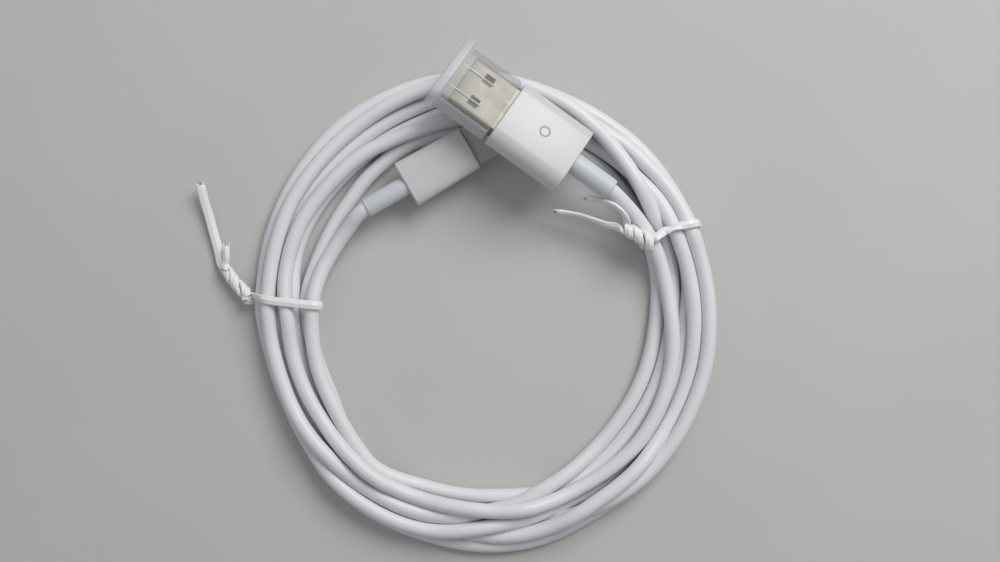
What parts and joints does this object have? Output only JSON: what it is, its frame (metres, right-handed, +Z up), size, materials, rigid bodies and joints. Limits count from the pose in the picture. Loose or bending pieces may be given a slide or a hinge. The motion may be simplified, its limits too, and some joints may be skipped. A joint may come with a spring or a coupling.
{
  "type": "charging cable",
  "caption": "Slim white charging cable in a loose round coil with wire ties, a USB-A plug and a slim reversible device plug, each under a clear push-on cap.",
  "frame": {"origin": "on the table the coil lies on, under the middle of the box that the plugs, caps and ties fill; the coil's own centre is 8.5 mm along +X and 31.6 mm along -Y from it", "axes": "+Z up from the table; +X along the ties and plugs from left to right; +Y from the coil's centre towards the plugs"},
  "size_m": [0.1243, 0.1194, 0.0209],
  "materials": {
    "cord": "satin white TPE",
    "housing": "gloss white",
    "sleeve": "satin bluish white",
    "clear_cap": "slightly cloudy clear moulding",
    "shell_steel": "nickel plated",
    "contact_gold": "gold plated",
    "insulator": "moulded white",
    "tongue": "moulded dark",
    "inner_mould": "moulded",
    "board": "solder mask",
    "chip": "moulded black",
    "print": "printed grey",
    "tie_coat": "white coating",
    "tie_wire": "bright cut wire",
    "wire_red": "insulation",
    "wire_white": "insulation",
    "wire_green": "insulation",
    "wire_black": "insulation"
  },
  "bodies": {
    "cable": {"cable_coil": "cord", "cable_lead_usb": "cord", "cable_lead_tip": "cord", "usb_shell": "shell_steel", "usb_tongue": "tongue", "usb_inner_mould": "inner_mould", "usb_crimp_ring": "contact_gold", "usb_housing": "housing", "usb_mark": "print", "usb_strain_relief": "sleeve", "tip_tab_frame": "shell_steel", "tip_insulator": "insulator", "tip_contacts_top": "contact_gold", "tip_contacts_bottom": "contact_gold", "tip_board": "board", "tip_chip": "chip", "tip_shield": "shell_steel", "tip_inner_mould": "inner_mould", "tip_crimp_ring": "contact_gold", "tip_housing": "housing", "tip_strain_relief": "sleeve", "tie_left": "tie_coat", "tie_left_wire": "tie_wire", "tie_right": "tie_coat", "tie_right_wire": "tie_wire", "usb_contact_1": "contact_gold", "usb_contact_2": "contact_gold", "usb_contact_3": "contact_gold", "usb_contact_4": "contact_gold", "usb_wire_red": "wire_red", "tip_wire_red": "wire_red", "usb_wire_white": "wire_white", "tip_wire_white": "wire_white", "usb_wire_green": "wire_green", "tip_wire_green": "wire_green", "usb_wire_black": "wire_black", "tip_wire_black": "wire_black"},
    "usb_cap": {"usb_cap": "clear_cap"},
    "tip_cap": {"tip_cap": "clear_cap"}
  },
  "joints": [
    {"name": "usb_cap_pull", "type": "slide", "parent": "cable", "child": "usb_cap", "axis": [-0.812, 0.5771, 0.0872], "range_m": [0, 0.0125]},
    {"name": "tip_cap_pull", "type": "slide", "parent": "cable", "child": "tip_cap", "axis": [0.8613, 0.5074, -0.0262], "range_m": [0, 0.007]}
  ]
}
